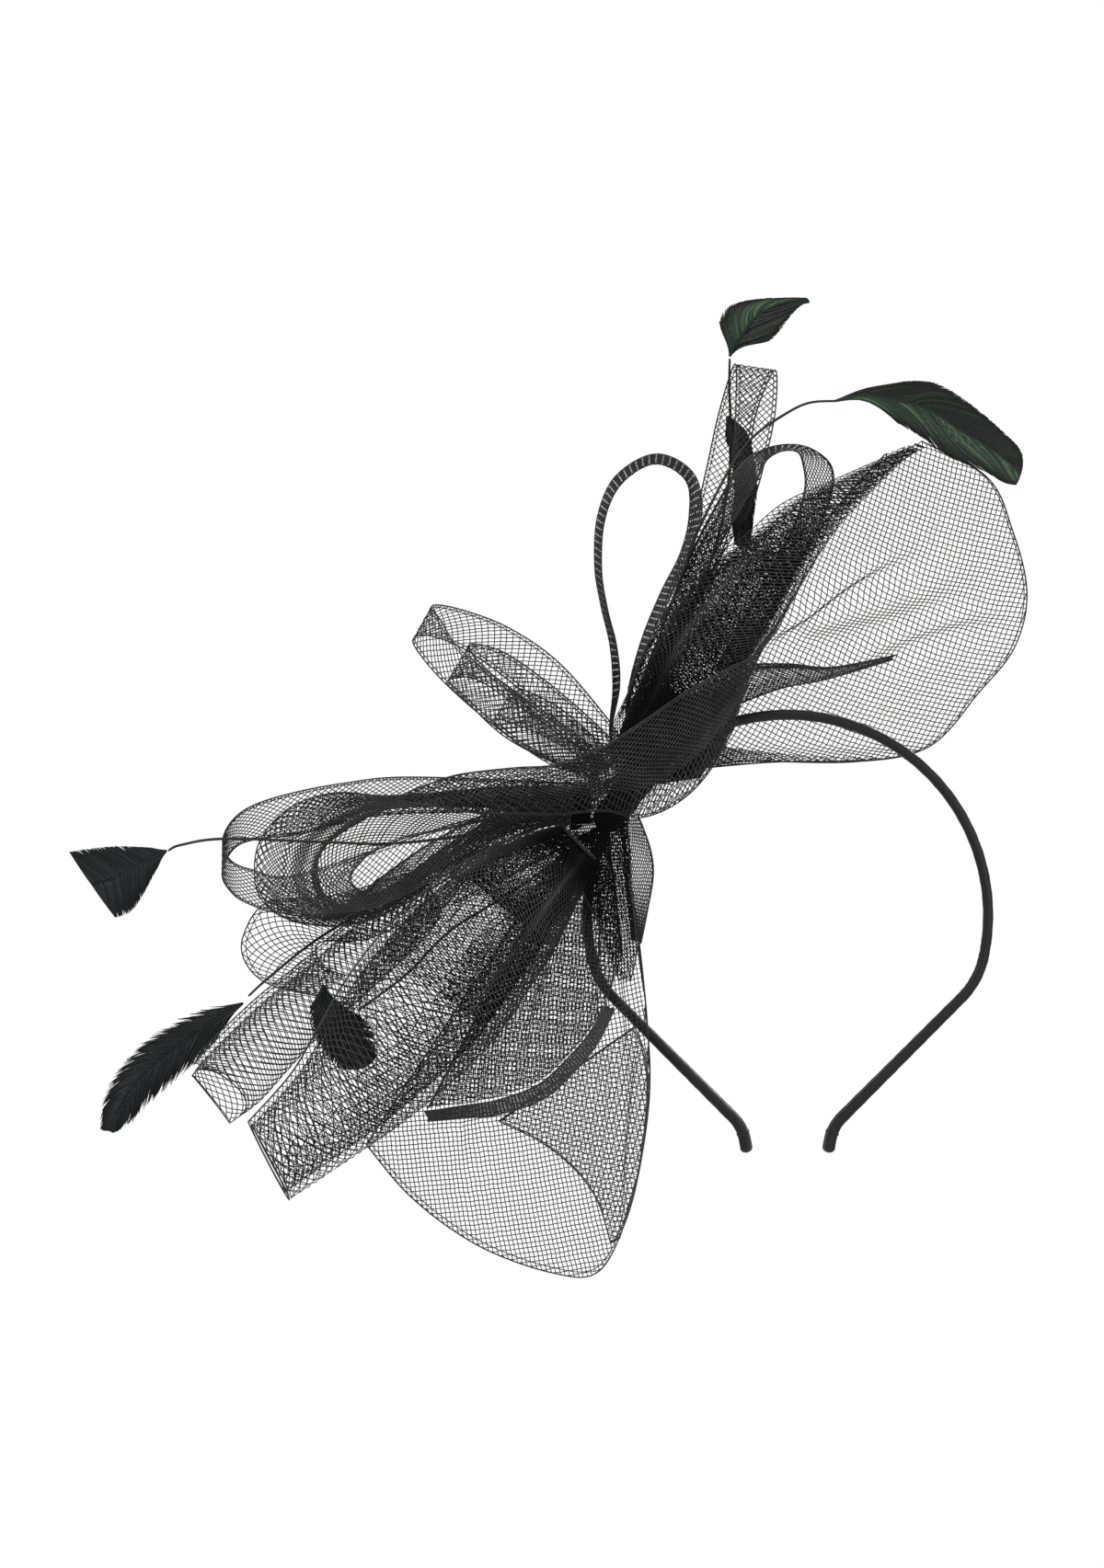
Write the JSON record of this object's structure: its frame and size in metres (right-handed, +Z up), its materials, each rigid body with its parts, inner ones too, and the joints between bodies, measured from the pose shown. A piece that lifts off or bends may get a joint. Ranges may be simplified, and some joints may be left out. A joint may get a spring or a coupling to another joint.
{
  "type": "fascinator headpiece",
  "caption": "Satin headband fascinator with a knot of black crin petals, rolls and ribbon loops and trimmed feathers, worn on the side of the head.",
  "frame": {"origin": "centre of the circle that the headband's crown follows, in the middle of the band's width; the head comes up to it from below", "axes": "+Z up out of the head, +Y to the back of the head, +X to the wearer's left, so the knot of crin is on the -X side and faces -Y"},
  "size_m": [0.313, 0.0871, 0.3176],
  "materials": {
    "spring_steel": "cold-rolled spring strip, hidden in the satin",
    "satin": "black polyester satin, soft sheen",
    "felt": "black craft felt, matt",
    "thread": "black waxed sewing thread",
    "crin": "open braid of black nylon monofilament, slight gloss",
    "quill": "stripped and dyed quill",
    "feather_green": "black coque feather with a green iridescence",
    "feather_black": "black coque feather"
  },
  "bodies": {
    "crown": {"steel_crown": "spring_steel", "satin_crown": "satin", "felt_front": "felt", "felt_back": "felt", "binding_thread": "thread", "base_stitches": "thread", "upper_fan": "crin", "fan_pleat": "crin", "fan_hem": "crin", "upper_roll": "crin", "twist_wrap": "crin", "upper_loop_outer": "crin", "upper_loop_middle": "crin", "upper_loop_inner": "crin", "slim_loop": "crin", "tall_loop": "crin", "arch_loop": "crin", "left_loop_outer": "crin", "left_loop_middle": "crin", "left_loop_inner": "crin", "lower_left_loop": "crin", "small_roll": "crin", "big_roll": "crin", "petal_back": "crin", "petal_front": "crin", "petal_hem": "crin", "petal_fold": "crin", "side_petal": "crin", "knot_tuck": "crin", "top_feather_quill": "quill", "top_feather_vane": "feather_green", "right_feather_quill": "quill", "right_feather_vane": "feather_green", "inner_feather_vane": "feather_black", "left_feather_quill": "quill", "left_feather_vane": "feather_black", "lower_feather_quill": "quill", "lower_feather_vane": "feather_black", "leaf_feather_quill": "quill", "leaf_feather_vane": "feather_black"},
    "left_leg": {"steel_left_leg": "spring_steel", "satin_left_leg": "satin", "left_tip_cap": "satin"},
    "right_leg": {"steel_right_leg": "spring_steel", "satin_right_leg": "satin", "right_tip_cap": "satin"}
  },
  "joints": [
    {"name": "left_leg_spread", "type": "hinge", "parent": "crown", "child": "left_leg", "pos_m": [-0.0654, 0, 0], "axis": [0, 1, 0], "range_deg": [0, 12], "stiffness_Nm_per_rad": 0.6},
    {"name": "right_leg_spread", "type": "hinge", "parent": "crown", "child": "right_leg", "pos_m": [0.0654, 0, 0], "axis": [0, -1, 0], "range_deg": [0, 12], "stiffness_Nm_per_rad": 0.6}
  ]
}
